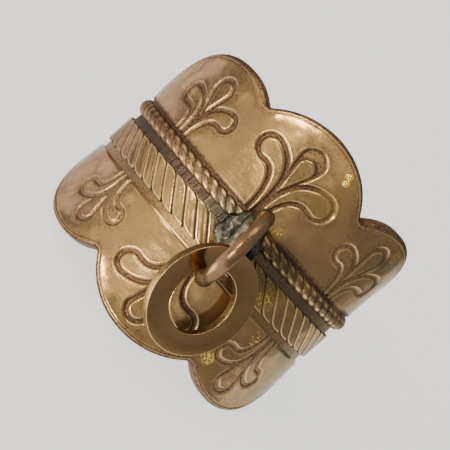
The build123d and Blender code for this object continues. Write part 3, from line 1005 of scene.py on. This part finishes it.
# The same solder in a thinner coat over the wire: a paler and warmer grey.
tinned_wire = bronze(
    "solder_run_up_the_wire", "#45443e", "#6a675d", "#2a2c26", 0.36, 0.8, 0.12, 1.0, "#45443e", 0.9, 0.9,
)
bpy.ops.object.select_all(action="DESELECT")
bpy.ops.mesh.primitive_torus_add(
    major_radius=loop_ring_r * MM, minor_radius=1.0 * MM, major_segments=160, minor_segments=48,
)
sleeve = bpy.context.object
torus = read_points(sleeve.data) / MM
round_loop = np.arctan2(torus[:, 1], torus[:, 0])
spine = np.stack([np.cos(round_loop), np.sin(round_loop), 0 * round_loop], axis=-1) * loop_ring_r
skin = torus - spine
round_wire = np.arctan2(skin[:, 2], -skin[:, 0])
behind = smooth_step(-np.cos(round_loop), -0.45, 0.25)
thick = hidden_r + (sleeve_r - hidden_r) * behind
thick = thick + sleeve_lump * behind * np.sin(7 * round_loop + 1.0) * np.sin(3 * round_wire)
write_points(sleeve.data, (spine + skin * thick[:, None]) * MM)
set_in_place(sleeve, "wire_solder", loop_place)
join_ring(sleeve, tinned_wire)

# Drop ring.
# It is a flat washer of sheet bronze, turned smooth, that hangs in the loop; its
# face is dark olive brown and its edges carry painted highlights, as rubbed wear.
drop_outer_d = 9.45
drop_hole_d = 5.7
drop_thick = 0.7
drop_edge_round = 0.06
drop_yaw = radians(35.0)
drop_swing = radians(42.0)
drop_roll = radians(3.4)
drop_clearance = 0.15

# The drop hangs on the wire by the edge of its hole: yawed out of the loop's plane,
# and swung aside until it meets the plate.
loop_along = finger_way * cos(drop_roll) - loop_level * sin(drop_roll)
wire_r = loop_wire_d / 2
slant = sqrt((wire_r / cos(drop_yaw) * sin(drop_swing)) ** 2 + (wire_r * cos(drop_swing)) ** 2)
drop_reach = slant + drop_thick / 2 * tan(drop_yaw) * sin(drop_swing)
drop_offset = drop_hole_d / 2 - drop_reach - drop_clearance
drop_down = -loop_along
drop_level = loop_out.cross(drop_down)
drop_normal = loop_out * cos(drop_yaw) + drop_level * sin(drop_yaw)
drop_side = drop_level * cos(drop_yaw) - loop_out * sin(drop_yaw)
drop_hang = drop_down * cos(drop_swing) + drop_side * sin(drop_swing)
drop_centre = loop_out * loop_centre_r + drop_down * loop_ring_r + drop_hang * drop_offset

bpy.ops.object.select_all(action="DESELECT")
bpy.ops.mesh.primitive_cylinder_add(
    vertices=160, radius=drop_outer_d / 2 * MM, depth=drop_thick * MM, end_fill_type="NGON",
)
drop = bpy.context.object
bpy.ops.object.mode_set(mode="EDIT")
bpy.ops.mesh.select_mode(type="FACE")
bpy.ops.mesh.select_all(action="DESELECT")
bpy.ops.object.mode_set(mode="OBJECT")
for face in drop.data.polygons:
    face.select = abs(face.normal.z) > 0.9
bpy.ops.object.mode_set(mode="EDIT")
bpy.ops.mesh.inset(thickness=(drop_outer_d - drop_hole_d) / 2 * MM, depth=0)
bpy.ops.mesh.bridge_edge_loops()
bpy.ops.object.mode_set(mode="OBJECT")
rounding = drop.modifiers.new("worn_edges", "BEVEL")
rounding.width = drop_edge_round * MM
rounding.segments = 4
rounding.limit_method = "ANGLE"
rounding.angle_limit = radians(50)
bpy.ops.object.modifier_apply(modifier=rounding.name)

# Dirt and painted shade lie on the walls of the rim and the hole, and their edges carry painted
# highlights, as rubbed wear.
edge_wear_and_highlight = []
wall_dirt_and_shade = []
for x, y, z in read_points(drop.data) / MM:
    from_hole = hypot(x, y) - drop_hole_d / 2
    from_rim = drop_outer_d / 2 - hypot(x, y)
    from_face = drop_thick / 2 - abs(z)
    at_edge = max(min(from_rim, from_hole), from_face) < 0.05
    wall_darkening = 0.7 * (from_hole < 0.01) + 0.5 * (from_rim < 0.01)
    edge_wear_and_highlight.append(0.4 * at_edge)
    wall_dirt_and_shade.append(wall_darkening)
for layer_name, values in (("wear_and_highlight", edge_wear_and_highlight), ("dirt_and_shade", wall_dirt_and_shade)):
    drop.data.attributes.new(layer_name, "FLOAT", "POINT").data.foreach_set("value", values)

# Sheet bronze turned on a lathe: even and smooth, olive brown. The back, turned to
# the plate, was never polished: the same bronze, dull and darker.
drop_bronze = bronze(
    "turned_sheet_bronze", "#9b7f57", "#a5885e", "#4b3d2a", 0.16, 0.1, 0.05, 1.0, "#9b7f57",
)
dull_back = bronze(
    "dull_back_of_the_drop", "#655640", "#6f5f48", "#403729", 0.36, 0.4, 0.05, 0.85, "#655640",
)
drop_place = axes_matrix(drop_hang, drop_normal.cross(drop_hang), drop_normal, drop_centre)
set_in_place(drop, "drop_washer", drop_place)
drop.data.materials.append(drop_bronze)
drop.data.materials.append(dull_back)
drop_front = lay_matrix.to_3x3() @ drop_normal
for face in drop.data.polygons:
    face.material_index = int(face.normal.dot(drop_front) < -0.6)
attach(drop, "drop")
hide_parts("drop_ring")

# Floor under the ring.
# It is a matt sheet of pale paper that glows of itself, as a painted light, evenly
# round the ring, and darker further off, so that the metal has something dark to reflect.
paper_glow = 1.42
far_glow = 0.13
glow_reach = 0.072
glow_end = 0.100
bpy.ops.object.select_all(action="DESELECT")
bpy.ops.mesh.primitive_plane_add(size=3.0, location=(0, 0, 0))
floor = bpy.context.object
floor.name = "floor"
paper = bpy.data.materials.new("pale_paper")
paper.use_nodes = True
paper_tree = paper.node_tree
paper_shader = paper_tree.nodes["Principled BSDF"]
paper_shader.inputs["Base Color"].default_value = linear("#8f8f8e")
paper_shader.inputs["Roughness"].default_value = 0.9
paper_shader.inputs["Emission Color"].default_value = linear("#f4f4f2")
on_paper = add_node(paper_tree, "ShaderNodeTexCoord").outputs["Object"]
from_glow = add_node(
    paper_tree, "ShaderNodeMapping", {}, {"Location": (0.036, -0.02, 0), "Scale": (1.35, 1.0, 1.0)},
    {"Vector": on_paper},
).outputs["Vector"]
glow_distance = add_node(
    paper_tree, "ShaderNodeVectorMath", {"operation": "LENGTH"}, {}, {0: from_glow},
).outputs["Value"]
glow = add_node(
    paper_tree, "ShaderNodeMapRange", {"interpolation_type": "SMOOTHSTEP"},
    {"From Min": glow_reach, "From Max": glow_end, "To Min": paper_glow, "To Max": far_glow},
    {"Value": glow_distance},
).outputs["Result"]
paper_tree.links.new(glow, paper_shader.inputs["Emission Strength"])
floor.data.materials.append(paper)

# Light of the studio.
# The room is pale, and a little dimmer near the floor. Broad soft boxes stand at the
# left, in front and above, and small bright ones give the highlights on the lobes.
room_dim = 0.46
room_bright = 0.75
room = bpy.data.worlds.new("soft_room")
bpy.context.scene.world = room
room.use_nodes = True
room_tree = room.node_tree
room_shader = room_tree.nodes["Background"]
room_shader.inputs["Color"].default_value = linear("#c7c1bc")
direction = add_node(room_tree, "ShaderNodeTexCoord").outputs["Generated"]
upwards = add_node(room_tree, "ShaderNodeSeparateXYZ", {}, {}, {0: direction}).outputs["Z"]
room_light = add_node(
    room_tree, "ShaderNodeMapRange", {"interpolation_type": "SMOOTHSTEP"},
    {"From Min": -0.05, "From Max": 0.22, "To Min": room_dim, "To Max": room_bright},
    {"Value": upwards},
).outputs["Result"]
room_tree.links.new(room_light, room_shader.inputs["Strength"])

lamp_tone = linear("#ffecbf")[:3]
ring_front = (0, -0.005, 0.01)
fill_spot = (-0.009, -0.0195)
soft_boxes = [
    # name, place, what it faces, width and height in metres, power in watts
    ("left_softbox", (-0.27, -0.28, 0.11), ring_front, (0.54, 0.18), 0.222),
    ("front_strip", (0.020, -0.39, 0.07), ring_front, (0.42, 0.105), 0.108),
    ("side_fill", (-0.36, -0.03, 0.13), ring_front, (0.20, 0.20), 0.080),
    ("top_softbox", (-0.12, -0.035, 0.35), ring_front, (0.16, 0.28), 0.58),
    ("low_glint", (-0.169, -0.362, 0.042), ring_front, (0.085, 0.030), 0.33),
    ("middle_glint", (-0.098, -0.388, 0.060), ring_front, (0.08, 0.034), 0.46),
    ("high_glint", (-0.214, -0.277, 0.204), ring_front, (0.068, 0.040), 0.44),
    ("low_softbox", (*fill_spot, 0.001), (*fill_spot, 1.0), (0.014, 0.012), 0.0036),
]
for lamp_name, place, target, size, power in soft_boxes:
    lamp = bpy.data.lights.new(lamp_name, "AREA")
    lamp.color = lamp_tone
    lamp.shape = "RECTANGLE"
    lamp.size, lamp.size_y = size
    lamp.energy = power
    holder = bpy.data.objects.new(lamp_name, lamp)
    bpy.context.scene.collection.objects.link(holder)
    holder.location = place
    holder.rotation_euler = (Vector(target) - Vector(place)).to_track_quat("-Z", "Y").to_euler()
    # The small fill on the paper lights the ring from below and isn't seen itself.
    holder.visible_camera = lamp_name != "low_softbox"

# Camera.
# A long lens looks down at the front, nearly square to the finger, and is rolled
# so that the finger runs up and to the right.
camera_raise = radians(1.6)
finger_roll = radians(41.55)
camera_distance = 1500.0
pixel_size = 0.0762
frame_pixels = 450
film_width = 36.0
aim_across = -0.312
aim_along = 0.2
view_lift = ring_lean + camera_raise
forward = Vector((0, cos(view_lift), -sin(view_lift)))
across_view = Vector((1, 0, 0))
along_view = across_view.cross(forward)
right = along_view * cos(finger_roll) + across_view * sin(finger_roll)
up = along_view * sin(finger_roll) - across_view * cos(finger_roll)
aim = Vector(laid_down(aim_across, 0.0, aim_along))
camera_data = bpy.data.cameras.new("camera")
camera_data.sensor_width = film_width
camera_data.lens = film_width * camera_distance / (pixel_size * frame_pixels)
camera_data.clip_start = 0.01
camera = bpy.data.objects.new("camera", camera_data)
bpy.context.scene.collection.objects.link(camera)
camera_facing = Matrix((right, up, -forward)).transposed().to_4x4()
camera.matrix_world = Matrix.Translation(aim - forward * camera_distance * MM) @ camera_facing
bpy.context.scene.camera = camera
